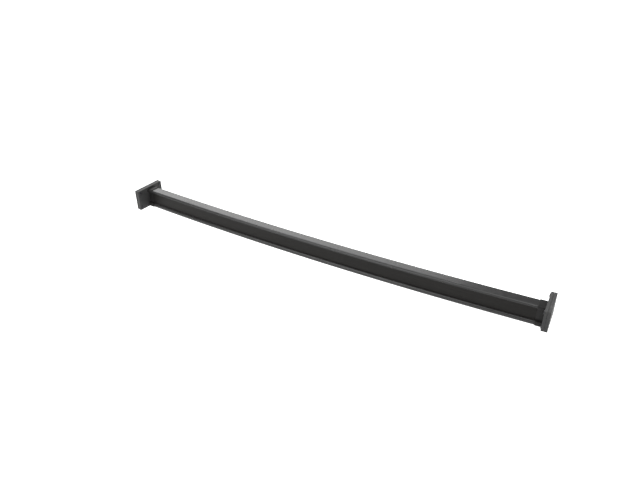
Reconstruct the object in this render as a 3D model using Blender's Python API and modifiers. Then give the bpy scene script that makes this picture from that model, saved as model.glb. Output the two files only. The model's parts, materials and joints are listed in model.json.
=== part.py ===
"""Pool handrail: a bowed aluminium channel with an infill strip, held between two post brackets.

Frame: +X runs along the rail's chord towards the right-hand bracket, -Y is the side that the rail
bows towards, and +Z is up. The origin is the middle of the footprint, on the floor. Depths are
measured from the rail's front edge towards its back, and heights from the floor.
"""

import math

import bmesh
import bpy

# Overall shape, in metres
SPAN = 1.180  # between the outer faces of the post plates, along the rail's front edge
SAGITTA = 0.0193  # how far the front edge bows out of its chord
ARC_STEPS = 24  # straight facets along the bow
GAP = 0.0003  # left between pieces that touch

# Rail section
RAIL_DEPTH = 0.030
RAIL_HEIGHT = 0.051
TOP_WALL = 0.005
BACK_WALL = 0.003
FLOOR_WALL = 0.003
RIB_HEIGHT = 0.009  # the ledge along the bottom of the front
RECESS = 0.006  # from the front edge back to the infill strip
GROOVE = 0.0015  # how far the strip's top edge goes up into the top wall
SNAP_RIB = 0.0015  # thickness of the small rib behind the strip
SNAP_RIB_HEIGHT = 0.004
TOP_ROUND = 0.0025
BOTTOM_ROUND = 0.0015
STRIP_THICKNESS = 0.003

# Collar, a trim ring round each end of the rail
COLLAR_WALL = 0.0012
COLLAR_LENGTH = 0.016
RAIL_BOTTOM = COLLAR_WALL + GAP  # the collars and plates stand on the floor

# End plates: an inner flange clamped to an outer post plate, larger at the left-hand end
PLATE_WIDTH = {"left": 0.090, "right": 0.082}
PLATE_HEIGHT = {"left": 0.0595, "right": 0.0540}
FLANGE_THICKNESS = 0.007
POST_PLATE_THICKNESS = 0.007
PLATE_CORNER = 0.0015
PLATE_EDGE = 0.0006
PLATE_CENTRE_DEPTH = {"left": 0.0098, "right": 0.0270}
SCREW_INSET = 0.007  # from the plate's edges to the flange screws
POST_HOLE_REACH = 0.020  # from the plate's centre to each countersunk post hole
POST_HOLE_RADIUS = 0.003
POST_SINK_RADIUS = 0.006

# Insert block inside each end of the rail
INSERT_LENGTH = 0.060
INSERT_CLEARANCE = 0.0005
INSERT_EDGE = 0.001

# Screws
SHANK_RADIUS = 0.0025
SHANK_TIP = 0.0005
BUTTON_RADIUS = 0.00475
BUTTON_HEIGHT = 0.0017
BUTTON_FLAT = 0.45  # flat top, as a share of the head's radius
BUTTON_STEPS = 4  # facets from the flat top to the rim
SINK_RADIUS = 0.0047
SOCKET_RADIUS = 0.0017
SOCKET_DEPTH = 0.0014
FLANGE_SCREW_LENGTH = 0.012
INSERT_SCREW_LENGTH = 0.022
RAIL_SCREW_LENGTH = 0.011
RAIL_SCREW_FROM_END = 0.040
RAIL_DRILL_DEPTH = 4 * BACK_WALL
INNER_SCREW_HEIGHTS = (0.014, 0.038)  # above the rail's bottom
SCREW_SIDES = 20

# Worked out from the above
RADIUS = (SPAN ** 2 / 4 + SAGITTA ** 2) / (2 * SAGITTA)
HALF_ANGLE = math.asin(SPAN / (2 * RADIUS))
PLATE_STACK = POST_PLATE_THICKNESS + GAP + FLANGE_THICKNESS
RAIL_END = PLATE_STACK + GAP  # from the outer face in to the end of the rail
RAIL_END_ANGLE = HALF_ANGLE - RAIL_END / RADIUS
STRIP_BACK = RECESS + STRIP_THICKNESS
SIDES = {"left": -1, "right": 1}
FACING_OUT = (math.pi / 2, 0, math.pi / 2)  # a flat outline's X, Y and Z become depth, height and out


def plate_corners(name):
    """World X and Y, before centring, of the four upright edges of an end's pair of plates."""
    side = SIDES[name]
    turn = side * HALF_ANGLE
    centre = PLATE_CENTRE_DEPTH[name]
    corners = []
    for inward in (0, PLATE_STACK):
        for depth in (centre - PLATE_WIDTH[name] / 2, centre + PLATE_WIDTH[name] / 2):
            x = side * (SPAN / 2 - inward * math.cos(turn)) - depth * math.sin(turn)
            y = depth * math.cos(turn) - side * inward * math.sin(turn)
            corners.append((x, y))
    return corners


def footprint_centre():
    """Middle of the plates' extent in X and Y, which becomes the part's origin."""
    corners = plate_corners("left") + plate_corners("right")
    xs = [corner[0] for corner in corners]
    ys = [corner[1] for corner in corners]
    return (min(xs) + max(xs)) / 2, (min(ys) + max(ys)) / 2


def clear_scene():
    for item in list(bpy.data.objects):
        bpy.data.objects.remove(item, do_unlink=True)


def new_collection(name):
    collection = bpy.data.collections.new(name)
    bpy.context.scene.collection.children.link(collection)
    return collection


def new_material(name, colour, roughness, metallic):
    material = bpy.data.materials.new(name)
    material.use_nodes = True
    shader = material.node_tree.nodes["Principled BSDF"]
    shader.inputs["Base Color"].default_value = (*colour, 1)
    shader.inputs["Roughness"].default_value = roughness
    shader.inputs["Metallic"].default_value = metallic
    return material


def new_object(name, mesh, collection, material=None):
    item = bpy.data.objects.new(name, mesh)
    collection.objects.link(item)
    if material is not None:
        if not mesh.materials:
            mesh.materials.append(material)
        item.material_slots[0].link = "OBJECT"
        item.material_slots[0].material = material
    return item


def mesh_from(item):
    """The item's mesh with its modifiers applied and its loose caps welded; the item goes."""
    bpy.context.view_layer.update()
    evaluated = item.evaluated_get(bpy.context.evaluated_depsgraph_get())
    mesh = bpy.data.meshes.new_from_object(evaluated)
    mesh.name = item.name
    bpy.data.objects.remove(item, do_unlink=True)
    work = bmesh.new()
    work.from_mesh(mesh)
    bmesh.ops.remove_doubles(work, verts=work.verts, dist=1e-6)
    bmesh.ops.recalc_face_normals(work, faces=work.faces)
    work.to_mesh(mesh)
    work.free()
    return mesh


def round_corner(centre, radius, start_degrees, steps=4):
    """A quarter circle of points, anticlockwise from start_degrees."""
    points = []
    for step in range(steps + 1):
        angle = math.radians(start_degrees + 90 * step / steps)
        points.append((centre[0] + radius * math.cos(angle), centre[1] + radius * math.sin(angle)))
    return points


def rail_skin(offset):
    """The rail's outer outline, as depth and height above its bottom, grown by offset."""
    low = -offset
    back = RAIL_DEPTH + offset
    high = RAIL_HEIGHT + offset
    bottom_round = BOTTOM_ROUND + offset
    top_round = TOP_ROUND + offset
    outline = []
    outline += round_corner((low + bottom_round, low + bottom_round), bottom_round, 180)
    outline += round_corner((back - bottom_round, low + bottom_round), bottom_round, 270)
    outline += round_corner((back - top_round, high - top_round), top_round, 0)
    outline += round_corner((low + top_round, high - top_round), top_round, 90)
    outline.append((low, RAIL_HEIGHT - TOP_WALL - offset))
    return outline


def rail_section():
    """The channel's outline: its skin, then the groove, the hollow, the snap rib and the ledge."""
    ceiling = RAIL_HEIGHT - TOP_WALL
    slot_front = RECESS - GAP
    slot_back = STRIP_BACK + GAP
    rib_back = slot_back + SNAP_RIB
    rib_top = FLOOR_WALL + SNAP_RIB_HEIGHT
    inner_back = RAIL_DEPTH - BACK_WALL
    outline = rail_skin(0)
    outline += [(slot_front, ceiling), (slot_front, ceiling + GROOVE), (slot_back, ceiling + GROOVE)]
    outline += [(slot_back, ceiling), (inner_back, ceiling), (inner_back, FLOOR_WALL)]
    outline += [(rib_back, FLOOR_WALL), (rib_back, rib_top), (slot_back, rib_top)]
    outline += [(slot_back, FLOOR_WALL), (slot_front, FLOOR_WALL), (slot_front, RIB_HEIGHT)]
    outline.append((0, RIB_HEIGHT))
    return outline


def strip_section():
    """The infill strip's outline, standing in the channel's two slots."""
    low = FLOOR_WALL + GAP
    high = RAIL_HEIGHT - TOP_WALL + GROOVE - GAP
    return [(RECESS, low), (STRIP_BACK, low), (STRIP_BACK, high), (RECESS, high)]


def collar_outline(offset):
    """The rail's skin grown by offset, stepped back over the recess."""
    outline = rail_skin(offset)
    outline.append((RECESS - offset, RAIL_HEIGHT - TOP_WALL - offset))
    outline.append((RECESS - offset, RIB_HEIGHT + offset))
    outline.append((-offset, RIB_HEIGHT + offset))
    return outline


def bowed_mesh(name, outline, end_angle):
    """Carry a depth-and-height outline round the rail's arc, from one end angle to the other."""
    work = bmesh.new()
    corners = []
    for depth, height in outline:
        reach = RADIUS - depth
        place = (-reach * math.sin(end_angle), -reach * math.cos(end_angle), RAIL_BOTTOM + height)
        corners.append(work.verts.new(place))
    start = work.faces.new(corners)
    start_edges = list(start.edges)
    bmesh.ops.spin(work, geom=[start], cent=(0, 0, 0), axis=(0, 0, 1), angle=2 * end_angle,
                   steps=ARC_STEPS, use_duplicate=False)
    if all(edge.is_boundary for edge in start_edges):
        bmesh.ops.holes_fill(work, edges=start_edges, sides=len(start_edges))
    bmesh.ops.recalc_face_normals(work, faces=work.faces)
    mesh = bpy.data.meshes.new(name)
    work.to_mesh(mesh)
    work.free()
    return mesh


def make_bowed(name, outline, centre, collection, material):
    item = new_object(name, bowed_mesh(name, outline, RAIL_END_ANGLE), collection, material)
    item.location = (-centre[0], RADIUS - SAGITTA - centre[1], 0)
    shade_round(item)
    return item


def shade_round(item, degrees=35):
    item.data.shade_smooth()
    item.data.set_sharp_from_angle(angle=math.radians(degrees))


def flat_solid(name, outlines, thickness):
    """Mesh of a flat outline, with holes where there are more outlines, thickness deep along Z."""
    curve = bpy.data.curves.new(name, "CURVE")
    curve.dimensions = "2D"
    curve.fill_mode = "BOTH"
    curve.extrude = thickness / 2
    curve.render_resolution_u = 0
    for outline in outlines:
        spline = curve.splines.new("POLY")
        spline.points.add(len(outline) - 1)
        for point, (across, up) in zip(spline.points, outline):
            point.co = (across, up, 0, 1)
        spline.use_cyclic_u = True
    item = bpy.data.objects.new(name, curve)
    bpy.context.scene.collection.objects.link(item)
    return mesh_from(item)


def rounded_rectangle(low, high, radius):
    """Outline of a rectangle between two corners, each given as depth and height."""
    near = (low[0] + radius, low[1] + radius)
    far = (high[0] - radius, high[1] - radius)
    outline = []
    outline += round_corner(near, radius, 180)
    outline += round_corner((far[0], near[1]), radius, 270)
    outline += round_corner(far, radius, 0)
    outline += round_corner((near[0], far[1]), radius, 90)
    return outline


def make_cutter(name, radius, depth, cutters, far_radius=None):
    """A round cutter along Z: radius at its lower end, far_radius at its upper end."""
    work = bmesh.new()
    bmesh.ops.create_cone(work, cap_ends=True, segments=SCREW_SIDES, radius1=radius,
                          radius2=far_radius or radius, depth=depth)
    mesh = bpy.data.meshes.new(name)
    work.to_mesh(mesh)
    work.free()
    cutter = new_object(name, mesh, cutters)
    cutter.hide_render = True
    cutter.display_type = "WIRE"
    return cutter


def cut(item, cutter):
    boolean = item.modifiers.new("cut_" + cutter.name, "BOOLEAN")
    boolean.operation = "DIFFERENCE"
    boolean.solver = "EXACT"
    boolean.object = cutter


def cut_hole(item, name, place, radius, depth, cutters, rotation=(0, 0, 0)):
    """A plain hole centred on place, along the item's own Z unless it is turned."""
    drill = make_cutter(name, radius, depth, cutters)
    drill.parent = item
    drill.location = place
    drill.rotation_euler = rotation
    cut(item, drill)


def cut_countersink(item, name, place, hole_radius, face_radius, upwards, cutters):
    """A 90 degree countersink that opens at place on the item's upper or lower face."""
    depth = face_radius - hole_radius + 2 * GAP
    sink = make_cutter(name, hole_radius, depth, cutters, far_radius=hole_radius + depth)
    sink.parent = item
    sink.location = (place[0], place[1], place[2] + upwards * (2 * GAP - depth / 2))
    sink.rotation_euler = (0 if upwards > 0 else math.pi, 0, 0)
    cut(item, sink)


def bevel_edges(item, width, segments=1):
    bevel = item.modifiers.new("eased_edges", "BEVEL")
    bevel.width = width
    bevel.segments = segments
    bevel.limit_method = "ANGLE"
    bevel.angle_limit = math.radians(50)


def turned_mesh(name, profile, collection):
    """Turn a profile of radius and height, listed from the top down its outer side, round Z."""
    mesh = bpy.data.meshes.new(name)
    points = [(radius, 0, height) for radius, height in profile]
    edges = [(index, index + 1) for index in range(len(points) - 1)]
    mesh.from_pydata(points, edges, [])
    item = new_object(name, mesh, collection)
    screw = item.modifiers.new("turned", "SCREW")
    screw.axis = "Z"
    screw.steps = SCREW_SIDES
    screw.render_steps = SCREW_SIDES
    screw.use_merge_vertices = True
    screw.merge_threshold = 1e-5
    screw.use_normal_calculate = True
    return item


def socketed(item, top, cutters):
    """Sink a hexagon socket in the middle of a screw head whose top is at the height given."""
    work = bmesh.new()
    bmesh.ops.create_cone(work, cap_ends=True, segments=6, radius1=SOCKET_RADIUS,
                          radius2=SOCKET_RADIUS, depth=2 * SOCKET_DEPTH)
    mesh = bpy.data.meshes.new(item.name + "_socket")
    work.to_mesh(mesh)
    work.free()
    cutter = new_object(mesh.name, mesh, cutters)
    cutter.location = (0, 0, top)
    cutter.hide_render = True
    cutter.display_type = "WIRE"
    cut(item, cutter)
    return mesh_from(item)


def button_screw_mesh(name, length, cutters):
    """A button-head screw: the head's underside is at Z 0 and the tip at minus its length."""
    top_radius = BUTTON_RADIUS * BUTTON_FLAT
    profile = [(0, BUTTON_HEIGHT), (top_radius, BUTTON_HEIGHT)]
    for step in range(1, BUTTON_STEPS + 1):
        angle = math.radians(90 * (1 - step / BUTTON_STEPS))
        radius = top_radius + (BUTTON_RADIUS - top_radius) * math.cos(angle)
        profile.append((radius, GAP + (BUTTON_HEIGHT - GAP) * math.sin(angle)))
    profile += [(BUTTON_RADIUS, 0), (SHANK_RADIUS, 0), (SHANK_RADIUS, SHANK_TIP - length)]
    profile += [(SHANK_RADIUS - SHANK_TIP, -length), (0, -length)]
    return socketed(turned_mesh(name, profile, cutters), BUTTON_HEIGHT, cutters)


def countersunk_screw_mesh(name, length, cutters):
    """A countersunk screw: the head's flat top is at Z 0 and the tip at minus its length."""
    profile = [(0, 0), (SINK_RADIUS, 0), (SINK_RADIUS, -GAP)]
    profile += [(SHANK_RADIUS, -GAP - (SINK_RADIUS - SHANK_RADIUS))]
    profile += [(SHANK_RADIUS, SHANK_TIP - length), (SHANK_RADIUS - SHANK_TIP, -length), (0, -length)]
    return socketed(turned_mesh(name, profile, cutters), 0, cutters)


def end_frame(name, centre, collection):
    """An empty on the rail's front edge at an end's outer face, its Y towards the rail's back."""
    side = SIDES[name]
    frame = bpy.data.objects.new(name + "_end", None)
    collection.objects.link(frame)
    frame.location = (side * SPAN / 2 - centre[0], -centre[1], 0)
    frame.rotation_euler = (0, 0, side * HALF_ANGLE)
    return frame


def make_end_piece(name, outlines, near, thickness, end, frame, collection, material):
    """A flat piece square to the rail, from near to near + thickness in from the outer face."""
    item = new_object(name, flat_solid(name, outlines, thickness), collection, material)
    item.parent = frame
    item.location = (-SIDES[end] * (near + thickness / 2), 0, 0)
    item.rotation_euler = FACING_OUT
    shade_round(item)
    return item


def flange_screw_places(end):
    """Depth and height of an end's four flange screws, front low first."""
    reach_across = PLATE_WIDTH[end] / 2 - SCREW_INSET
    centre = PLATE_CENTRE_DEPTH[end]
    places = []
    for depth in (centre - reach_across, centre + reach_across):
        for height in (SCREW_INSET, PLATE_HEIGHT[end] - SCREW_INSET):
            places.append((depth, height))
    return places


def inner_screw_places():
    """Depth and height of the two countersunk screws, up the middle of the rail's hollow."""
    depth = (STRIP_BACK + GAP + SNAP_RIB + RAIL_DEPTH - BACK_WALL) / 2
    return [(depth, RAIL_BOTTOM + height) for height in INNER_SCREW_HEIGHTS]


def make_plates(end, frame, collection, cutters, materials):
    """The flange and the post plate of one end, with their screw holes."""
    side = SIDES[end]
    centre = PLATE_CENTRE_DEPTH[end]
    low = (centre - PLATE_WIDTH[end] / 2, 0)
    high = (centre + PLATE_WIDTH[end] / 2, PLATE_HEIGHT[end])
    outline = rounded_rectangle(low, high, PLATE_CORNER)
    post_plate = make_end_piece(end + "_post_plate", [outline], 0, POST_PLATE_THICKNESS, end,
                                frame, collection, materials["powder_coat"])
    flange = make_end_piece(end + "_flange", [outline], POST_PLATE_THICKNESS + GAP,
                            FLANGE_THICKNESS, end, frame, collection, materials["powder_coat"])
    hole_radius = SHANK_RADIUS + GAP
    for plate in (post_plate, flange):
        bevel_edges(plate, PLATE_EDGE)
        for number, (depth, height) in enumerate(flange_screw_places(end), 1):
            cut_hole(plate, f"{plate.name}_hole_{number}", (depth, height, 0), hole_radius,
                     2 * FLANGE_THICKNESS, cutters)
    for number, (depth, height) in enumerate(inner_screw_places(), 1):
        name = f"{flange.name}_insert_hole_{number}"
        cut_hole(flange, name, (depth, height, 0), hole_radius, 2 * FLANGE_THICKNESS, cutters)
        cut_countersink(flange, name + "_sink", (depth, height, side * FLANGE_THICKNESS / 2),
                        hole_radius, SINK_RADIUS + 2 * GAP, side, cutters)
    for number, reach in enumerate((-POST_HOLE_REACH, POST_HOLE_REACH), 1):
        name = f"{post_plate.name}_post_hole_{number}"
        depth = centre + reach
        height = PLATE_HEIGHT[end] / 2
        cut_hole(post_plate, name, (depth, height, 0), POST_HOLE_RADIUS,
                 2 * POST_PLATE_THICKNESS, cutters)
        face = (depth, height, -side * POST_PLATE_THICKNESS / 2)
        cut_countersink(post_plate, name + "_sink", face, POST_HOLE_RADIUS, POST_SINK_RADIUS,
                        -side, cutters)


def make_insert(end, frame, collection, cutters, materials):
    """The block inside the rail's end, drilled for the countersunk and the rail screws."""
    side = SIDES[end]
    low = (STRIP_BACK + GAP + SNAP_RIB + INSERT_CLEARANCE, RAIL_BOTTOM + FLOOR_WALL + INSERT_CLEARANCE)
    high = (RAIL_DEPTH - BACK_WALL - INSERT_CLEARANCE,
            RAIL_BOTTOM + RAIL_HEIGHT - TOP_WALL - INSERT_CLEARANCE)
    outline = rounded_rectangle(low, high, INSERT_EDGE)
    insert = make_end_piece(end + "_insert_block", [outline], RAIL_END, INSERT_LENGTH, end, frame,
                            collection, materials["cast_insert"])
    hole_radius = SHANK_RADIUS + GAP
    reach = INSERT_SCREW_LENGTH - FLANGE_THICKNESS + 2 * GAP
    for number, (depth, height) in enumerate(inner_screw_places(), 1):
        place = (depth, height, side * INSERT_LENGTH / 2)
        cut_hole(insert, f"{insert.name}_end_hole_{number}", place, hole_radius, 2 * reach, cutters)
    along = side * (INSERT_LENGTH / 2 + RAIL_END - RAIL_SCREW_FROM_END)
    reach = RAIL_SCREW_LENGTH - BACK_WALL
    for number, (_, height) in enumerate(inner_screw_places(), 1):
        cut_hole(insert, f"{insert.name}_back_hole_{number}", (high[0], height, along), hole_radius,
                 2 * reach, cutters, rotation=(0, math.pi / 2, 0))


def make_collar(end, frame, collection, materials):
    rings = [collar_outline(GAP + COLLAR_WALL), collar_outline(GAP)]
    raised = [[(depth, height + RAIL_BOTTOM) for depth, height in ring] for ring in rings]
    make_end_piece(end + "_collar", raised, RAIL_END, COLLAR_LENGTH, end, frame, collection,
                   materials["trim"])


def make_screw(name, mesh, frame, place, rotation, collection, material):
    item = new_object(name, mesh, collection, material)
    item.parent = frame
    item.location = place
    item.rotation_euler = rotation
    shade_round(item)


def make_screws(end, frame, rail, meshes, collection, cutters, materials):
    """An end's flange screws, insert screws and rail screws, with the rail's two screw holes."""
    side = SIDES[end]
    head_inwards = (0, -side * math.pi / 2, 0)
    head_outwards = (0, side * math.pi / 2, 0)
    head_backwards = (-math.pi / 2, 0, 0)
    material = materials["screw"]
    for number, (depth, height) in enumerate(flange_screw_places(end), 1):
        place = (-side * (PLATE_STACK + GAP), depth, height)
        make_screw(f"{end}_flange_screw_{number}", meshes["flange"], frame, place, head_inwards,
                   collection, material)
    for number, (depth, height) in enumerate(inner_screw_places(), 1):
        place = (-side * (POST_PLATE_THICKNESS + 2 * GAP), depth, height)
        make_screw(f"{end}_insert_screw_{number}", meshes["insert"], frame, place, head_outwards,
                   collection, material)
    for number, (_, height) in enumerate(inner_screw_places(), 1):
        place = (-side * RAIL_SCREW_FROM_END, RAIL_DEPTH + 2 * GAP, height)
        name = f"{end}_rail_screw_{number}"
        make_screw(name, meshes["rail"], frame, place, head_backwards, collection, material)
        drill = make_cutter(name + "_hole", SHANK_RADIUS + GAP, RAIL_DRILL_DEPTH, cutters)
        drill.parent = frame
        drill.location = place
        drill.rotation_euler = head_backwards
        cut(rail, drill)


def main():
    clear_scene()
    collection = new_collection("pool_handrail")
    cutters = new_collection("cutters")
    materials = {
        "powder_coat": new_material("powder_coat", (0.030, 0.030, 0.032), 0.38, 0.0),
        "strip": new_material("strip", (0.020, 0.019, 0.018), 0.55, 0.0),
        "trim": new_material("trim", (0.018, 0.018, 0.019), 0.5, 0.0),
        "cast_insert": new_material("cast_insert", (0.55, 0.56, 0.57), 0.45, 1.0),
        "screw": new_material("screw", (0.045, 0.045, 0.048), 0.35, 0.9),
    }
    centre = footprint_centre()
    rail = make_bowed("rail_channel", rail_section(), centre, collection, materials["powder_coat"])
    make_bowed("infill_strip", strip_section(), centre, collection, materials["strip"])
    meshes = {
        "flange": button_screw_mesh("flange_screw", FLANGE_SCREW_LENGTH, cutters),
        "insert": countersunk_screw_mesh("insert_screw", INSERT_SCREW_LENGTH, cutters),
        "rail": button_screw_mesh("rail_screw", RAIL_SCREW_LENGTH, cutters),
    }
    for end in SIDES:
        frame = end_frame(end, centre, collection)
        make_plates(end, frame, collection, cutters, materials)
        make_collar(end, frame, collection, materials)
        make_insert(end, frame, collection, cutters, materials)
        make_screws(end, frame, rail, meshes, collection, cutters, materials)


if __name__ == "__main__":
    main()
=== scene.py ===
"""Looks of the bowed pool handrail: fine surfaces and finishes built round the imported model.

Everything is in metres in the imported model's own frame: +X runs along the rail's chord, -Y is
the side that the rail bows towards, and +Z is up. The rail's arc and the places of its two ends
are worked out from the frame's mounts and boxes.
"""

import json
import logging
import math
from collections.abc import Callable
from dataclasses import dataclass, field
from enum import Enum

import bmesh
import bpy
import numpy as np
from mathutils import Matrix, Vector


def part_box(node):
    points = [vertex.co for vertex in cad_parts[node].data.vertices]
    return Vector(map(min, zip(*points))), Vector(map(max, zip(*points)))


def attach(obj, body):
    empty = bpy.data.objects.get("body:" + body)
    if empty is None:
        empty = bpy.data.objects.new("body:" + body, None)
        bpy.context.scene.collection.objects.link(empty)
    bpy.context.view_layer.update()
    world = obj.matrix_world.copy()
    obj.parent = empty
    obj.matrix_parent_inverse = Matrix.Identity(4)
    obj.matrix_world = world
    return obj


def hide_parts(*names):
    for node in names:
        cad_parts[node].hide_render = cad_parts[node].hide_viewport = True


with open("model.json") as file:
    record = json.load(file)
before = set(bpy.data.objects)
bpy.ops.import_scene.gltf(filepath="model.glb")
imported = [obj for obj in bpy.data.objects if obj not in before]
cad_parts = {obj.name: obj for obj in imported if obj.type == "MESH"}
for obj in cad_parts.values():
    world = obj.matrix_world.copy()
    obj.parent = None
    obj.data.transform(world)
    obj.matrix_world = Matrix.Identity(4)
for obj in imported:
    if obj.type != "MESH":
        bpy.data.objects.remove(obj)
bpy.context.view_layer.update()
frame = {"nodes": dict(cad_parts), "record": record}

LOG = logging.getLogger("pool_handrail")
MM = 0.001
UV_LAYER = "surface"
MERGE_DISTANCE = 1e-7
WHITE = (1.0, 1.0, 1.0, 1.0)
NOISE_SPAN = (0.3, 0.7)  # fractal noise stays mostly inside

Span = tuple[float, float]
Triple = tuple[float, float, float]
Array = np.ndarray
Item = bpy.types.Object
Material = bpy.types.Material
Socket = bpy.types.NodeSocket


# ---------- Surfaces ----------


def smooth_step(value: Array) -> Array:
    """Ease 0..1 with the cubic 3t^2 - 2t^3."""
    clipped = np.clip(value, 0.0, 1.0)
    return clipped * clipped * (3.0 - 2.0 * clipped)


def unit(vectors: Array) -> Array:
    """Scale each row to a length of 1."""
    return vectors / np.linalg.norm(vectors, axis=1, keepdims=True)


def rounded_outline(corners: Array, radii: Array, steps: int) -> Array:
    """Round every corner of a closed polygon.

    Each corner becomes an arc tangent to its two sides. With half the corner's angle h, the arc
    starts radius / tan(h) from the corner, and its centre lies radius / sin(h) along the
    bisector.

    Args:
        corners: the polygon's corners, one row each.
        radii: the radius at each corner.
        steps: how many points each arc has.

    Returns:
        The rounded outline, corners * steps rows.
    """
    before = np.roll(corners, 1, axis=0) - corners
    after = np.roll(corners, -1, axis=0) - corners
    before, after = unit(before), unit(after)
    half = 0.5 * np.arccos(np.clip((before * after).sum(axis=1), -1.0, 1.0))
    bisector = unit(before + after)
    centres = corners + bisector * (radii / np.sin(half))[:, None]
    reach = (radii / np.tan(half))[:, None]
    first = corners + before * reach - centres
    last = corners + after * reach - centres
    start = np.arctan2(first[:, 1], first[:, 0])
    turn = np.arctan2(last[:, 1], last[:, 0]) - start
    turn = (turn + math.pi) % (2.0 * math.pi) - math.pi
    angles = start[:, None] + turn[:, None] * np.linspace(0.0, 1.0, steps)[None, :]
    arcs = np.stack([np.cos(angles), np.sin(angles)], axis=-1) * radii[:, None, None]
    return (centres[:, None, :] + arcs).reshape(-1, 2)


def subdivided(outline: Array, longest: float) -> Array:
    """Add points along the straight runs of a closed outline.

    Args:
        outline: the closed outline, one row a point.
        longest: the longest side that is left whole.

    Returns:
        The outline with every longer side cut into equal pieces.
    """
    following = np.roll(outline, -1, axis=0)
    lengths = np.linalg.norm(following - outline, axis=1)
    counts = np.maximum(1, np.ceil(lengths / longest)).astype(int)
    owner = np.repeat(np.arange(len(outline)), counts)
    first = np.repeat(np.cumsum(counts) - counts, counts)
    share = (np.arange(counts.sum()) - first) / counts[owner]
    return outline[owner] + (following - outline)[owner] * share[:, None]


def quarter_turn(radius: float, steps: int) -> tuple[Array, Array]:
    """What a quarter circle leaves of its radius: radius * (1 - cos), and with sin for cos."""
    turn = np.linspace(0.0, math.pi / 2, steps)
    return radius * (1 - np.cos(turn)), radius * (1 - np.sin(turn))


def show(name: str, data: bpy.types.ID) -> Item:
    """Put an object with that data into the scene, at the origin."""
    item = bpy.data.objects.new(name, data)
    bpy.context.scene.collection.objects.link(item)
    return item


@dataclass(frozen=True)
class Patch:
    """A grid of surface points: each row is a closed loop, and the rows run from end to end."""

    points: Array
    joined_ends: bool = False
    capped: bool = True

    def cells(self) -> tuple[Array, Array]:
        """Row and column of each corner of each four-sided face, before they wrap round."""
        rows, columns = self.points.shape[:2]
        last = rows if self.joined_ends else rows - 1
        row = np.arange(last)[:, None, None] + np.array([0, 0, 1, 1])
        column = np.arange(columns)[None, :, None] + np.array([0, 1, 1, 0])
        return np.broadcast_arrays(row, column)

    def quads(self, offset: int = 0) -> Array:
        """Corner numbers of the grid's four-sided faces, counted from offset."""
        rows, columns = self.points.shape[:2]
        row, column = self.cells()
        return ((row % rows) * columns + column % columns).reshape(-1, 4) + offset

    def map_coordinates(self) -> Array:
        """UV of each face corner, in metres: along the rows first, then round the loop."""
        next_row = np.roll(self.points, -1, axis=0)
        next_column = np.roll(self.points, -1, axis=1)
        along = np.linalg.norm(next_row - self.points, axis=2).mean(axis=1)
        around = np.linalg.norm(next_column - self.points, axis=2).mean(axis=0)
        row, column = self.cells()
        u = np.concatenate([[0.0], np.cumsum(along)])[row]
        v = np.concatenate([[0.0], np.cumsum(around)])[column]
        return np.stack([u, v], axis=-1).reshape(-1, 2)


class Surface:
    """Gathers patches into one closed mesh and makes the object that shows it."""

    def __init__(self, name: str) -> None:
        """Start an empty surface for the piece of that name."""
        self.name = name
        self.patches: list[Patch] = []

    def add(self, patch: Patch) -> "Surface":
        """Add a patch and return the surface."""
        self.patches.append(patch)
        return self

    def mesh(self) -> bpy.types.Mesh:
        """Write the patches and their end caps into a mesh with whole-array calls."""
        points = np.concatenate([patch.points.reshape(-1, 3) for patch in self.patches])
        counts = [patch.points[..., 0].size for patch in self.patches]
        offsets = np.cumsum([0] + counts)
        quads = np.concatenate([patch.quads(start)
                                for patch, start in zip(self.patches, offsets)])
        caps = []
        for patch, offset in zip(self.patches, offsets):
            if patch.capped and not patch.joined_ends:
                rows, columns = patch.points.shape[:2]
                caps.append(np.arange(columns)[::-1] + offset)
                caps.append(np.arange(columns) + offset + (rows - 1) * columns)
        corner_list = np.concatenate([quads.ravel()] + caps).astype(np.int32)
        sizes = np.array([4] * len(quads) + [len(cap) for cap in caps], np.int32)
        starts = (np.cumsum(sizes) - sizes).astype(np.int32)
        mesh = bpy.data.meshes.new(self.name)
        mesh.vertices.add(len(points))
        mesh.vertices.foreach_set("co", points.astype(np.float32).ravel())
        mesh.loops.add(len(corner_list))
        mesh.loops.foreach_set("vertex_index", corner_list)
        mesh.polygons.add(len(sizes))
        mesh.polygons.foreach_set("loop_start", starts)
        mesh.polygons.foreach_set("loop_total", sizes)
        mesh.update(calc_edges=True)
        cap_corners = sum(len(cap) for cap in caps)
        coordinates = [patch.map_coordinates() for patch in self.patches]
        coordinates = np.concatenate(coordinates + [np.zeros((cap_corners, 2))])
        layer = mesh.uv_layers.new(name=UV_LAYER)
        layer.data.foreach_set("uv", coordinates.astype(np.float32).ravel())
        mesh.validate()
        return mesh

    def finish(self, sharp_degrees: float = 38.0, across: Array | None = None) -> Item:
        """Close the surface, turn its faces outwards and make its object.

        Args:
            sharp_degrees: edges that turn by more than this keep a crisp line.
            across: direction across a plate, whose two flat faces are still open.

        Returns:
            The finished object, at the origin.
        """
        mesh = self.mesh()
        work = bmesh.new()
        work.from_mesh(mesh)
        bmesh.ops.remove_doubles(work, verts=work.verts, dist=MERGE_DISTANCE)
        smooth = set(work.faces)
        if across is not None:
            self.fill_flats(work, Vector(across))
        bmesh.ops.recalc_face_normals(work, faces=work.faces)
        for face in work.faces:
            face.smooth = face in smooth and len(face.verts) <= 4
        work.to_mesh(mesh)
        work.free()
        mesh.set_sharp_from_angle(angle=math.radians(sharp_degrees))
        return show(self.name, mesh)

    @staticmethod
    def fill_flats(work: bmesh.types.BMesh, across: Vector) -> None:
        """Fill a plate's two flat faces, whose outlines and holes are the open edges."""
        open_edges = [edge for edge in work.edges if edge.is_boundary]
        places = np.array([(edge.verts[0].co + edge.verts[1].co).dot(across)
                           for edge in open_edges])
        halfway = (places.min() + places.max()) / 2
        for chosen in (places < halfway, places >= halfway):
            edges = [edge for edge, taken in zip(open_edges, chosen) if taken]
            bmesh.ops.triangle_fill(work, use_beauty=True, use_dissolve=False, edges=edges)


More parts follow.
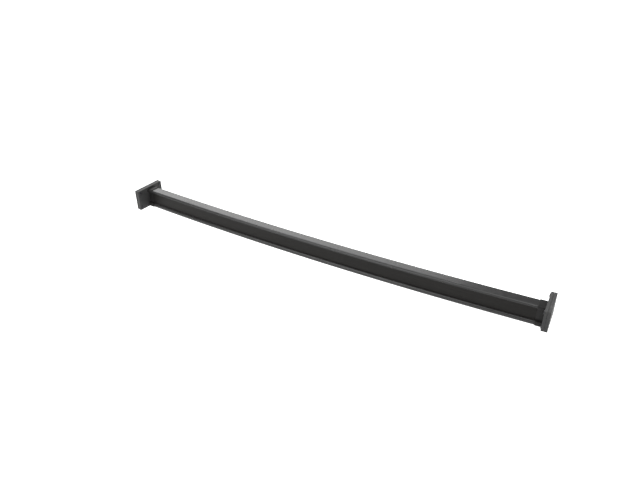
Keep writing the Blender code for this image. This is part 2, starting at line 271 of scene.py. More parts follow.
# ---------- The rail's arc and its two ends, read from the frame ----------


class Side(Enum):
    """The two ends of the rail; the value is the direction of the end along +X."""

    LEFT = -1
    RIGHT = 1

    @property
    def word(self) -> str:
        """The word that the end's node names start with."""
        return self.name.lower()


@dataclass(frozen=True)
class Bow:
    """The arc that the rail follows, worked out from the two mounts, whose planes are radial."""

    centre: Array
    radius: float
    half_angle: float

    @classmethod
    def from_frame(cls) -> "Bow":
        """Cross the two end planes to find the centre, and take the front from the rail's box."""
        mounts = {mount["name"]: mount for mount in frame["record"]["mounts"]}
        left, right = mounts["left_post_face"], mounts["right_post_face"]
        normals = np.array([left["axis"][:2], right["axis"][:2]])
        places = np.array([left["pos_m"][:2], right["pos_m"][:2]])
        centre = np.linalg.solve(normals, (normals * places).sum(axis=1))
        low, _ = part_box("rail_channel")
        half_angle = math.atan2(right["axis"][1], right["axis"][0])
        return cls(centre, float(centre[1] - low[1]), half_angle)

    def carry(self, outline: Array, angles: Array) -> Array:
        """Carry an outline of depth and height round the arc.

        A point at depth d and angle a lies at centre + (radius - d) * (sin a, -cos a).

        Args:
            outline: depth behind the rail's front edge and height, one row a point.
            angles: the angle of each station, from the middle of the rail.

        Returns:
            Points, stations by outline points by three.
        """
        reach = self.radius - outline[None, :, 0]
        x = self.centre[0] + reach * np.sin(angles)[:, None]
        y = self.centre[1] - reach * np.cos(angles)[:, None]
        z = np.broadcast_to(outline[None, :, 1], x.shape)
        return np.stack([x, y, z], axis=-1)


@dataclass(frozen=True)
class EndFrame:
    """Axes of one end: outwards along the rail, back across it, and up."""

    side: Side
    origin: Array
    out: Array
    back: Array

    @classmethod
    def from_bow(cls, bow: Bow, side: Side) -> "EndFrame":
        """Stand at the rail's front line on the outer face of the end's post plate."""
        angle = side.value * bow.half_angle
        across = np.array([math.cos(angle), math.sin(angle)])
        back = np.array([-math.sin(angle), math.cos(angle)])
        origin = bow.centre - bow.radius * back
        return cls(side, origin, across * side.value, back)

    def to_world(self, out: Array, back: Array, up: Array) -> Array:
        """Turn distances out, back and up into world points."""
        out, back, up = np.broadcast_arrays(out, back, up)
        flat = self.origin + out[..., None] * self.out + back[..., None] * self.back
        return np.concatenate([flat, up[..., None]], axis=-1)

    def sweep(self, profile: Array, outline: Callable[[float], Array]) -> Array:
        """Carry an outline, back and up, along a profile's rows of offset and distance out."""
        loops = np.stack([outline(offset) for offset in profile[:, 0]])
        return self.to_world(profile[:, None, 1], loops[:, :, 0], loops[:, :, 1])

    def local_box(self, node: str) -> tuple[Array, Array]:
        """Lowest and highest out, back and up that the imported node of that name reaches."""
        mesh = frame["nodes"][node].data
        places = np.zeros(len(mesh.vertices) * 3, np.float32)
        mesh.vertices.foreach_get("co", places)
        places = places.reshape(-1, 3).astype(float)
        flat = places[:, :2] - self.origin
        local = np.stack([flat @ self.out, flat @ self.back, places[:, 2]], axis=1)
        return local.min(axis=0), local.max(axis=0)


# ---------- Finishes ----------


class Graph:
    """A shader graph under construction: adds nodes and joins their sockets."""

    MIX_COLOUR_INPUTS = slice(6, 8)
    MIX_COLOUR_OUTPUT = 2

    def __init__(self, owner: bpy.types.ID, shader: str, **values: object) -> None:
        """Start from the graph that a material or a world comes with.

        Args:
            owner: the new material or world.
            shader: its shader's name.
            values: the shader's inputs, as set takes them.
        """
        owner.use_nodes = True
        self.owner = owner
        self.nodes = owner.node_tree.nodes
        self.shader = self.set(self.nodes[shader], **values)

    @classmethod
    def of_material(cls, name: str, **values: object) -> "Graph":
        """Start a material that has a Principled shader with those inputs."""
        return cls(bpy.data.materials.new(name), "Principled BSDF", **values)

    def feed(self, target: Socket, value: object) -> None:
        """Join an input to an output, or set it to a value."""
        if isinstance(value, Socket):
            self.owner.node_tree.links.new(value, target)
        else:
            target.default_value = value

    def set(self, node: bpy.types.Node, **values: object) -> bpy.types.Node:
        """Feed a node's inputs, whose spaces are written as underscores, or set its properties."""
        for key, value in values.items():
            label = key.replace("_", " ")
            if label in node.inputs:
                self.feed(node.inputs[label], value)
            else:
                setattr(node, key, value)
        return node

    def add(self, kind: str, **values: object) -> bpy.types.Node:
        """Add a node of a type, without its ShaderNode prefix, and set those values."""
        return self.set(self.nodes.new("ShaderNode" + kind), **values)

    def place(self, cells: tuple[float, ...], source: Socket | None = None) -> Socket:
        """Coordinates in cells of a pattern: the object's own unless others are given."""
        if source is None:
            source = self.add("TexCoord").outputs["Object"]
        scale = cells if len(cells) == 3 else cells * 3
        return self.add("Mapping", Scale=scale, Vector=source).outputs["Vector"]

    def noise(self, detail: float, *cells: float, rough: float = 0.55,
              source: Socket | None = None) -> Socket:
        """Fractal noise, from 0 to 1.

        Args:
            detail: how many finer layers it has.
            cells: cells per metre, the same every way or along X, Y and Z.
            rough: how strong each finer layer is.
            source: coordinates to use in place of the object's own.

        Returns:
            The noise's value.
        """
        node = self.add("TexNoise", Scale=1.0, Detail=detail, Roughness=rough,
                        Vector=self.place(cells, source))
        return node.outputs["Fac"]

    def remap(self, source: Socket, span: Span, result: Span = (0.0, 1.0)) -> Socket:
        """Stretch the span of a value onto the result, clamped at both ends."""
        node = self.add("MapRange", clamp=True, Value=source, From_Min=span[0],
                        From_Max=span[1], To_Min=result[0], To_Max=result[1])
        return node.outputs["Result"]

    def math(self, operation: str, first: object, second: object) -> Socket:
        """Combine two values, each a socket or a number."""
        node = self.add("Math", operation=operation)
        for target, value in zip(node.inputs, (first, second)):
            self.feed(target, value)
        return node.outputs["Value"]

    def product(self, first: object, second: object) -> Socket:
        """Multiply two values, each a socket or a number."""
        return self.math("MULTIPLY", first, second)

    def mix(self, share: Socket, first: object, second: object) -> Socket:
        """Blend two colours by a share from 0 to 1; each is a socket or a colour."""
        node = self.add("Mix", data_type="RGBA", Factor=share)
        for target, value in zip(node.inputs[self.MIX_COLOUR_INPUTS], (first, second)):
            self.feed(target, value if isinstance(value, Socket) else (*value, 1.0))
        return node.outputs[self.MIX_COLOUR_OUTPUT]

    def toned(self, share: Socket, colour: Triple, gain: float) -> Socket:
        """Blend a colour into itself times a gain."""
        return self.mix(share, colour, tuple(channel * gain for channel in colour))

    def bump(self, height: Socket, depth: float, strength: float, **under: Socket) -> Socket:
        """Raise the surface by depth metres where the height is 1, over a Normal if given."""
        node = self.add("Bump", Strength=strength, Distance=depth, Height=height, **under)
        return node.outputs["Normal"]

    def upward(self, kind: str, output: str, span: Span, result: Span = (0.0, 1.0)) -> Socket:
        """How far a new node's direction points up: its Z, stretched from span onto result."""
        parts = self.add("SeparateXYZ", Vector=self.add(kind).outputs[output])
        return self.remap(parts.outputs["Z"], span, result)

    def dress(self, **values: Socket) -> bpy.types.ID:
        """Feed the shader's inputs and return the finished material or world."""
        self.set(self.shader, **values)
        return self.owner


@dataclass(frozen=True)
class PowderCoat:
    """Semi-gloss powder coat: orange peel, slow tone drift, hair scratches, and a pale tint on
    upward faces that is a little dust at the default share and painted light on top faces where
    the share is raised, as on the plates.
    """

    name: str
    colour: Triple
    worn: Triple
    gloss: Span
    peel_cells: float = 850.0
    peel_depth: float = 0.06 * MM
    drift_cells: float = 14.0
    drift_gain: float = 1.28
    speckle_cells: float = 2400.0
    speckle_span: Span = (0.66, 0.80)
    speckle_share: float = 0.35
    scratch_cells: Triple = (9.0, 1500.0, 1500.0)
    scratch_span: Span = (0.67, 0.74)
    scratch_share: float = 0.35
    scratch_depth: float = 0.02 * MM
    scratch_rough: float = 0.12
    patch_cells: float = 22.0
    patch_span: Span = (0.48, 0.68)
    # Share of the worn colour laid on upward faces: a little dust at this default, painted light
    # on top faces when raised.
    dust_and_top_light: float = 0.12
    dust_and_top_light_slope: Span = (0.5, 1.0)
    thinnest_dust_and_top_light: float = 0.3
    dust_and_top_light_rough: float = 0.15
    index: float = 1.36

    def build(self) -> Material:
        """Make the finish's material."""
        graph = Graph.of_material(self.name, IOR=self.index)
        drift = graph.noise(4.0, self.drift_cells)
        colour = graph.toned(graph.remap(drift, NOISE_SPAN), self.colour, self.drift_gain)
        speckle = graph.noise(1.0, self.speckle_cells)
        speckle = graph.remap(speckle, self.speckle_span, (0.0, self.speckle_share))
        colour = graph.mix(speckle, colour, self.worn)
        patchy = graph.remap(graph.noise(2.0, self.patch_cells), self.patch_span)
        scratch = graph.noise(2.0, *self.scratch_cells)
        scratch = graph.product(graph.remap(scratch, self.scratch_span), patchy)
        colour = graph.mix(graph.product(scratch, self.scratch_share), colour, self.worn)
        # Upward faces blend towards the worn colour: dust at a small share, painted light on top
        # faces at a large one.
        uneven = graph.remap(patchy, (0.0, 1.0), (self.thinnest_dust_and_top_light, 1.0))
        level = graph.upward("NewGeometry", "Normal", self.dust_and_top_light_slope)
        dust_and_top_light_share = graph.product(graph.product(level, uneven), self.dust_and_top_light)
        colour = graph.mix(dust_and_top_light_share, colour, self.worn)
        rough = graph.remap(drift, NOISE_SPAN, self.gloss)
        rough = graph.math("ADD", rough, graph.product(scratch, self.scratch_rough))
        rough = graph.math("ADD", rough, graph.product(dust_and_top_light_share, self.dust_and_top_light_rough))
        peel = graph.noise(1.5, self.peel_cells)
        normal = graph.bump(peel, self.peel_depth, 0.55)
        normal = graph.bump(scratch, -self.scratch_depth, 0.35, Normal=normal)
        return graph.dress(Base_Color=colour, Roughness=rough, Normal=normal)


@dataclass(frozen=True)
class GrainedResin:
    """Extruded resin: fine streaks along the strip, with slow changes of tone."""

    name: str
    colour: Triple
    streak: Triple
    gloss: Span
    streak_cells: Triple = (6.0, 500.0, 620.0)
    streak_span: Span = (0.32, 0.70)
    streak_depth: float = 0.08 * MM
    broad_cells: Triple = (2.5, 60.0, 90.0)
    faintest: float = 0.35
    skin_cells: float = 1400.0
    skin_depth: float = 0.03 * MM
    index: float = 1.22

    def build(self) -> Material:
        """Make the finish's material."""
        graph = Graph.of_material(self.name, IOR=self.index)
        streaks = graph.noise(5.0, *self.streak_cells, rough=0.62)
        broad = graph.noise(3.0, *self.broad_cells)
        tone = graph.product(graph.remap(streaks, self.streak_span),
                             graph.remap(broad, NOISE_SPAN, (self.faintest, 1.0)))
        colour = graph.mix(tone, self.colour, self.streak)
        rough = graph.remap(streaks, NOISE_SPAN, self.gloss)
        skin = graph.noise(2.0, self.skin_cells)
        normal = graph.bump(streaks, self.streak_depth, 0.5)
        normal = graph.bump(skin, self.skin_depth, 0.4, Normal=normal)
        return graph.dress(Base_Color=colour, Roughness=rough, Normal=normal)


@dataclass(frozen=True)
class MouldedNylon:
    """Spark-textured nylon: a fine even grit, a little shinier where it has been rubbed."""

    name: str
    colour: Triple
    gloss: Span
    grit_cells: float = 1300.0
    grit_depth: float = 0.05 * MM
    rub_cells: float = 60.0
    rub_gain: float = 1.35
    rub_span: Span = (0.35, 0.65)
    index: float = 1.22

    def build(self) -> Material:
        """Make the finish's material."""
        graph = Graph.of_material(self.name, IOR=self.index)
        grit = graph.add("TexVoronoi", Scale=1.0, Vector=graph.place((self.grit_cells,)))
        rubbed = graph.noise(3.0, self.rub_cells)
        colour = graph.toned(graph.remap(rubbed, NOISE_SPAN), self.colour, self.rub_gain)
        rough = graph.remap(rubbed, self.rub_span, self.gloss)
        normal = graph.bump(grit.outputs["Distance"], self.grit_depth, 0.45)
        return graph.dress(Base_Color=colour, Roughness=rough, Normal=normal)


@dataclass(frozen=True)
class BlackedSteel:
    """Black-coated stainless screw: turned rings, a drift in the coating and bright wear."""

    name: str
    colour: Triple
    bright: Triple
    gloss: Span
    metal: float = 0.75
    ring_cells: Triple = (9000.0, 60.0, 1.0)
    ring_depth: float = 0.02 * MM
    coat_cells: float = 420.0
    wear_span: Span = (0.56, 0.74)
    wear_share: float = 0.5

    def build(self) -> Material:
        """Make the finish's material."""
        graph = Graph.of_material(self.name, Metallic=self.metal)
        coordinates = graph.add("UVMap", uv_map=UV_LAYER).outputs["UV"]
        rings = graph.noise(2.0, *self.ring_cells, source=coordinates)
        coat = graph.noise(3.0, self.coat_cells)
        worn = graph.remap(coat, self.wear_span, (0.0, self.wear_share))
        colour = graph.mix(worn, self.colour, self.bright)
        rough = graph.remap(coat, NOISE_SPAN, self.gloss)
        normal = graph.bump(rings, self.ring_depth, 0.35)
        return graph.dress(Base_Color=colour, Roughness=rough, Normal=normal)


@dataclass(frozen=True)
class CastZinc:
    """Plain zinc casting: dull grey with a sandy skin and small dark pits."""

    name: str
    colour: Triple
    pit: Triple
    gloss: Span = (0.45, 0.65)
    metal: float = 0.9
    skin_cells: float = 500.0
    skin_depth: float = 0.1 * MM
    pit_span: Span = (0.28, 0.42)
    cloud_cells: float = 40.0

    def build(self) -> Material:
        """Make the finish's material."""
        graph = Graph.of_material(self.name, Metallic=self.metal)
        skin = graph.noise(4.0, self.skin_cells)
        cloud = graph.noise(3.0, self.cloud_cells)
        colour = graph.mix(graph.remap(skin, self.pit_span, (1.0, 0.0)), self.colour, self.pit)
        rough = graph.remap(cloud, NOISE_SPAN, self.gloss)
        normal = graph.bump(skin, self.skin_depth, 0.6)
        return graph.dress(Base_Color=colour, Roughness=rough, Normal=normal)


@dataclass(frozen=True)
class StudioFloor:
    """Pale seamless floor of a light table, faintly mottled."""

    name: str
    colour: Triple
    glow: float
    mottle_cells: float = 3.0
    mottle_gain: float = 0.985
    roughness: float = 0.9
    shine: float = 0.2

    def build(self) -> Material:
        """Make the floor's material."""
        graph = Graph.of_material(self.name, Roughness=self.roughness,
                                  Specular_IOR_Level=self.shine, Emission_Strength=self.glow,
                                  Emission_Color=(*self.colour, 1.0))
        mottle = graph.noise(2.0, self.mottle_cells)
        return graph.dress(Base_Color=graph.toned(mottle, self.colour, self.mottle_gain))


class Finish(Enum):
    """The record's material slots that the pieces take their finish from."""

    POWDER_COAT = "powder_coat"
    PLATE_COAT = "plate_coat"
    STRIP = "strip"
    TRIM = "trim"
    INSERT = "insert"
    SCREW = "screw"


class FinishShelf:
    """Builds each finish once and hands it out."""

    RECIPES = {
        Finish.POWDER_COAT: PowderCoat("charcoal_rail_coat", colour=(0.0212, 0.0211, 0.0210),
                                       worn=(0.086, 0.086, 0.086), gloss=(0.21, 0.29)),
        # The plate coat's large share on upward faces paints light onto the plates' tops; its pale
        # worn colour is also the colour of that painted light.
        Finish.PLATE_COAT: PowderCoat("charcoal_plate_coat", colour=(0.029, 0.029, 0.029),
                                      worn=(0.16, 0.16, 0.16), gloss=(0.44, 0.56),
                                      peel_cells=700.0, peel_depth=0.08 * MM, dust_and_top_light=0.85,
                                      index=1.25),
        Finish.STRIP: GrainedResin("charcoal_strip_resin", colour=(0.0062, 0.0058, 0.0053),
                                   streak=(0.0135, 0.0126, 0.0113), gloss=(0.42, 0.56)),
        Finish.TRIM: MouldedNylon("charcoal_collar_nylon", colour=(0.0105, 0.0103, 0.0101),
                                  gloss=(0.38, 0.50)),
        Finish.INSERT: CastZinc("cast_zinc_insert", colour=(0.42, 0.43, 0.44),
                                pit=(0.12, 0.12, 0.12)),
        Finish.SCREW: BlackedSteel("blacked_screw_steel", colour=(0.035, 0.035, 0.038),
                                   bright=(0.16, 0.16, 0.17), gloss=(0.28, 0.42)),
    }

    def __init__(self) -> None:
        """Start with nothing built."""
        self.built: dict[Finish, Material] = {}

    def take(self, finish: Finish) -> Material:
        """The material of a finish, built on first use."""
        if finish not in self.built:
            self.built[finish] = self.RECIPES[finish].build()
        return self.built[finish]

    def redress(self, node: str, finish: Finish) -> None:
        """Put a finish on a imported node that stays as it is."""
        for slot in frame["nodes"][node].material_slots:
            slot.material = self.take(finish)

    def fit(self, item: Item, node: str, finish: Finish) -> None:
        """Dress a piece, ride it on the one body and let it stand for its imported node.

        Args:
            item: the new piece.
            node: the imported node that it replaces.
            finish: the slot that it takes its finish from.
        """
        item.data.materials.append(self.take(finish))
        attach(item, "root")
        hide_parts(node)
        LOG.info("%s: %d faces, stands for %s", item.name, len(item.data.polygons), node)


# ---------- The rail ----------


@dataclass
class Rail:
    """The bowed channel and the strip that closes its front."""

    bow: Bow
    depth: float = 30 * MM
    height: float = 51 * MM
    top_wall: float = 5 * MM
    side_wall: float = 3 * MM
    ledge_height: float = 9 * MM
    recess: float = 6 * MM
    groove: float = 1.5 * MM
    snap_rib: float = 1.5 * MM
    snap_rib_height: float = 4 * MM
    gap: float = 0.3 * MM
    strip_thickness: float = 3 * MM
    top_round: float = 4.4 * MM
    bottom_round: float = 1.5 * MM
    lip_round: float = 0.6 * MM
    ledge_round: float = 5.0 * MM
    strip_round: float = 0.3 * MM
    crease: float = 0.15 * MM
    round_steps: int = 6
    strip_round_steps: int = 4
    stations: int = 145
    longest_side: float = 4 * MM
    bottom: float = field(init=False)
    end_angle: float = field(init=False)

    def __post_init__(self) -> None:
        """Read the rail's lowest point and the angle of its cut ends from the frame."""
        low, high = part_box("rail_channel")
        self.bottom = low.z
        self.end_angle = math.asin((high.x - self.bow.centre[0]) / self.bow.radius)

    def channel_outline(self) -> Array:
        """Outline of the channel: its skin anticlockwise, then the slot, hollow and ledge."""
        ceiling = self.height - self.top_wall
        slot_front = self.recess - self.gap
        slot_back = self.recess + self.strip_thickness + self.gap
        rib_back = slot_back + self.snap_rib
        rib_top = self.side_wall + self.snap_rib_height
        inner = self.depth - self.side_wall
        corners = np.array([
            (0, 0), (self.depth, 0), (self.depth, self.height), (0, self.height), (0, ceiling),
            (slot_front, ceiling), (slot_front, ceiling + self.groove),
            (slot_back, ceiling + self.groove), (slot_back, ceiling), (inner, ceiling),
            (inner, self.side_wall), (rib_back, self.side_wall), (rib_back, rib_top),
            (slot_back, rib_top), (slot_back, self.side_wall), (slot_front, self.side_wall),
            (slot_front, self.ledge_height), (0, self.ledge_height),
        ])
        radii = np.full(len(corners), self.crease)
        radii[:4] = (self.bottom_round, self.bottom_round, self.top_round, self.top_round)
        radii[4] = self.lip_round
        radii[-2:] = (2 * self.crease, self.ledge_round)
        return self.eased(corners, radii, self.round_steps)

    def strip_outline(self) -> Array:
        """Outline of the infill strip, standing in the channel's slots."""
        low = self.side_wall + self.gap
        high = self.height - self.top_wall + self.groove - self.gap
        back = self.recess + self.strip_thickness
        corners = np.array([(self.recess, low), (back, low), (back, high), (self.recess, high)])
        return self.eased(corners, np.full(4, self.strip_round), self.strip_round_steps)

    def eased(self, corners: Array, radii: Array, steps: int) -> Array:
        """Round an outline's corners, cut its long sides and lift it to where the rail lies."""
        rounded = rounded_outline(corners, radii, steps)
        return self.raised(subdivided(rounded, self.longest_side))

    def raised(self, outline: Array) -> Array:
        """Lift an outline from the rail's own bottom to where the rail lies."""
        return outline + np.array([0.0, self.bottom])

    def build(self, shelf: FinishShelf) -> None:
        """Make and dress the channel and the strip."""
        angles = np.linspace(-self.end_angle, self.end_angle, self.stations)
        for name, outline, node, finish in (
                ("bowed_channel", self.channel_outline(), "rail_channel", Finish.POWDER_COAT),
                ("front_strip", self.strip_outline(), "infill_strip", Finish.STRIP)):
            surface = Surface(name).add(Patch(self.bow.carry(outline, angles)))
            shelf.fit(surface.finish(), node, finish)


# ---------- The brackets ----------


@dataclass(frozen=True)
class Hole:
    """A round hole through a plate, seen across it; sink is the radius at its countersunk face."""

    back: float
    up: float
    radius: float
    sink: float = 0.0
    sink_outwards: bool = True


@dataclass
class Slab:
    """A flat plate square to the rail, with eased edges, rounded corners and drilled holes."""

    end: EndFrame
    node: str
    corner: float = 1.5 * MM
    ease: float = 0.6 * MM
    rim: float = 0.4 * MM
    hole_ease: float = 0.25 * MM
    corner_steps: int = 12
    hole_columns: int = 40
    ease_steps: int = 6

    def __post_init__(self) -> None:
        """Read the plate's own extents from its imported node."""
        self.low, self.high = self.end.local_box(self.node)

    def outline(self, inset: float) -> Array:
        """The plate's rounded rectangle, back and up, pulled in by inset."""
        low = self.low[1:] + inset
        high = self.high[1:] - inset
        corners = np.array([low, (high[0], low[1]), high, (low[0], high[1])])
        return rounded_outline(corners, np.full(4, self.corner - inset), self.corner_steps)

    def edge_profile(self, ease: float) -> Array:
        """Inset and out along an eased edge, from the inner face round to the outer one.

        Each rim is a quarter circle of the ease's radius, between two points on the flat faces.
        """
        opening, closing = quarter_turn(ease, self.ease_steps)
        inner = np.stack([closing, self.low[0] + opening], axis=1)
        outer = np.stack([opening, self.high[0] - closing], axis=1)
        flat = ease + self.rim
        return np.array([(flat, self.low[0]), *inner, *outer, (flat, self.high[0])])

    def hole_patch(self, hole: Hole) -> Patch:
        """The wall of a hole: a circle whose radius grows by the profile's inset.

        A countersink grows at 45 degrees from its foot, which gets a row of its own.
        """
        grow, out = self.edge_profile(self.hole_ease).T
        if hole.sink:
            depth = hole.sink - hole.radius
            face, inwards = (self.high[0], -1) if hole.sink_outwards else (self.low[0], 1)
            grow = np.maximum(grow, depth - np.abs(face - out) + self.hole_ease)
            foot = face + inwards * (depth + self.hole_ease)
            row = int(np.searchsorted(out, foot))
            grow, out = np.insert(grow, row, 0.0), np.insert(out, row, foot)
        angle = np.linspace(0.0, 2.0 * math.pi, self.hole_columns, endpoint=False)
        radius = (hole.radius + grow)[:, None]
        points = self.end.to_world(out[:, None], hole.back + radius * np.cos(angle)[None, :],
                                   hole.up + radius * np.sin(angle)[None, :])
        return Patch(points, capped=False)

    def build(self, name: str, holes: list[Hole]) -> Item:
        """Make the plate.

        Args:
            name: the piece's name.
            holes: the holes through it.

        Returns:
            The plate's object.
        """
        band = self.end.sweep(self.edge_profile(self.ease), self.outline)
        surface = Surface(name).add(Patch(band, capped=False))
        for hole in holes:
            surface.add(self.hole_patch(hole))
        return surface.finish(across=np.append(self.end.out, 0.0))


@dataclass
class Collar:
    """The trim ring round the rail's end: a thin wall that follows the rail's skin and recess."""

    end: EndFrame
    rail: Rail
    gap: float = 0.3 * MM
    wall: float = 1.2 * MM
    ease: float = 0.5 * MM
    inner_crease: float = 0.15 * MM
    corner_steps: int = 8
    ease_steps: int = 5

    def outline(self, offset: float) -> Array:
        """The rail's skin with its recess, every wall moved out by offset."""
        rail = self.rail
        ceiling = rail.height - rail.top_wall
        corners = np.array([(0, 0), (rail.depth, 0), (rail.depth, rail.height), (0, rail.height),
                            (0, ceiling), (rail.recess, ceiling), (rail.recess, rail.ledge_height),
                            (0, rail.ledge_height)], float)
        move = np.array([(-1, -1), (1, -1), (1, 1), (-1, 1), (-1, -1), (-1, -1), (-1, 1), (-1, 1)])
        bottom, top, lip = rail.bottom_round, rail.top_round, rail.lip_round + offset / 2
        radii = np.array([bottom + offset, bottom + offset, top + offset, top + offset,
                          lip, self.inner_crease, self.inner_crease, lip])
        return rail.raised(rounded_outline(corners + move * offset, radii, self.corner_steps))

    def profile(self, free_end: float, base_end: float) -> Array:
        """Offset and out round the ring's wall; its free end is eased on both sides."""
        low, high = self.gap, self.gap + self.wall
        base = np.array([[low, base_end], [high, base_end]])
        opening, closing = quarter_turn(self.ease, self.ease_steps)
        outer = np.stack([high - opening, free_end + closing], axis=1)
        opening, closing = quarter_turn(self.ease / 2, self.ease_steps)
        inner = np.stack([low + closing, free_end + opening], axis=1)
        return np.concatenate([base, outer, inner])

    def build(self, name: str) -> Item:
        """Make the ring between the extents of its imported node."""
        low, high = self.end.local_box(self.end.side.word + "_collar")
        points = self.end.sweep(self.profile(low[0], high[0]), self.outline)
        return Surface(name).add(Patch(points, joined_ends=True)).finish()


class Head(Enum):
    """Kinds of screw head."""

    BUTTON = "button"
    COUNTERSUNK = "countersunk"


@dataclass(frozen=True)
class Screw:
    """A socket screw worked out as rows of rings from the socket's floor to the tip."""

    head: Head
    length: float
    shank: float = 2.5 * MM
    button_radius: float = 4.75 * MM
    button_height: float = 1.7 * MM
    button_flat: float = 0.45
    dome_rim: float = 0.35 * MM
    dome_steps: int = 9
    sink_radius: float = 4.7 * MM
    sink_flat: float = 0.75
    sink_rim: float = 0.3 * MM
    socket: float = 1.5 * MM
    socket_depth: float = 1.4 * MM
    pitch: float = 0.8 * MM
    thread_depth: float = 0.35 * MM
    thread_gap: float = 0.6 * MM
    rows_per_turn: int = 6
    fewest_rows: int = 12
    columns: int = 36

    # Rows round each edge: millimetres out from it and up, and how hexagonal the ring is.
    SOCKET_FOOT = ((-0.06, 0.0, 1.0), (0.0, 0.06, 1.0))
    SOCKET_MOUTH = ((0.0, -0.2, 1.0), (0.15, -0.02, 1.0), (0.3, 0.0, 0.6))
    BUTTON_EDGE = ((0.0, 0.12, 0.0), (-0.15, 0.0, 0.0))
    BUTTON_NECK = ((0.25, 0.0, 0.0), (0.0, -0.25, 0.0))
    SINK_EDGE = ((-0.15, 0.0, 0.0), (0.0, -0.1, 0.0), (0.0, -0.3, 0.0))
    SINK_NECK = ((0.1, 0.1, 0.0), (0.0, -0.05, 0.0))
    TIP = ((-0.6, 0.02, 0.0), (-0.8, 0.0, 0.0))
    THREAD_END = 0.5 * MM
    THREAD_FADE = 0.3 * MM
    SHARP_DEGREES = 32.0

    @staticmethod
    def edge(radius: float, height: float, steps: tuple[Triple, ...]) -> list[Triple]:
        """Rows of radius, height and how hexagonal, round an edge at a radius and height."""
        return [(radius + out * MM, height + up * MM, hexagonal) for out, up, hexagonal in steps]

    def head_rows(self) -> tuple[Array, float]:
        """Rows of radius, height and how hexagonal the ring is, and where the thread starts."""
        top = self.button_height if self.head is Head.BUTTON else 0.0
        floor = top - self.socket_depth
        rows = [(self.socket / 2, floor, 1.0), *self.edge(self.socket, floor, self.SOCKET_FOOT),
                *self.edge(self.socket, top, self.SOCKET_MOUTH)]
        if self.head is Head.BUTTON:
            flat = self.button_radius * self.button_flat
            turn = np.linspace(0.0, math.pi / 2, self.dome_steps)
            radius = flat + (self.button_radius - flat) * np.sin(turn)
            height = self.dome_rim + (top - self.dome_rim) * np.cos(turn)
            rows += zip(radius, height, np.zeros(self.dome_steps))
            rows += self.edge(self.button_radius, 0.0, self.BUTTON_EDGE)
            rows += self.edge(self.shank, 0.0, self.BUTTON_NECK)
            return np.array(rows), -self.thread_gap
        neck = self.shank - self.sink_radius - self.sink_rim
        rows += [(self.sink_radius * self.sink_flat, 0.0, 0.0)]
        rows += self.edge(self.sink_radius, 0.0, self.SINK_EDGE)
        rows += self.edge(self.shank, neck, self.SINK_NECK)
        return np.array(rows), neck - self.thread_gap / 2

    def surface_points(self) -> Array:
        """Points of the whole screw about Z, head up, with the head's seat (or flat top) at 0.

        A ring's radius at angle t is its own radius, or that radius over cos(t mod 60 degrees,
        centred) for a hexagon. The thread takes off its depth times a triangle wave of
        height / pitch - t / 360 degrees, eased in under the head and out at the tip.
        """
        head, start = self.head_rows()
        tip = -self.length
        count = max(self.fewest_rows, int((start - tip) / self.pitch * self.rows_per_turn))
        thread = np.zeros((count, 3))
        thread[:, 0] = self.shank
        thread[:, 1] = np.linspace(start, tip + self.THREAD_END, count)
        rows = np.concatenate([head, thread, self.edge(self.shank, tip, self.TIP)])
        angle = np.linspace(0.0, 2.0 * math.pi, self.columns, endpoint=False)[None, :]
        facet = (angle + math.pi / 6) % (math.pi / 3) - math.pi / 6
        hexagon = 1.0 / np.cos(facet)
        radius = rows[:, :1] * (1.0 + rows[:, 2:] * (hexagon - 1.0))
        height = np.broadcast_to(rows[:, 1:2], radius.shape)
        wave = np.abs(2.0 * ((height / self.pitch - angle / (2.0 * math.pi)) % 1.0) - 1.0)
        fade = smooth_step((start - height) / self.pitch)
        fade = fade * smooth_step((height - tip - self.THREAD_FADE) / self.pitch)
        radius = radius - self.thread_depth * wave * fade
        return np.stack([radius * np.cos(angle), radius * np.sin(angle), height], axis=-1)

    def build(self, name: str, seat: Array,
              tip_direction: Array) -> Item:
        """Make the screw with its seat at a place and its tip pointing along a direction.

        Args:
            name: the piece's name.
            seat: world place of height 0 on the screw's axis.
            tip_direction: level world direction from head to tip.

        Returns:
            The screw's object.
        """
        up = np.array([0.0, 0.0, 1.0])
        across = np.cross(up, -tip_direction)
        local = self.surface_points()
        world = seat + local[..., :1] * up + local[..., 1:2] * across
        world = world - local[..., 2:] * tip_direction
        return Surface(name).add(Patch(world)).finish(self.SHARP_DEGREES)


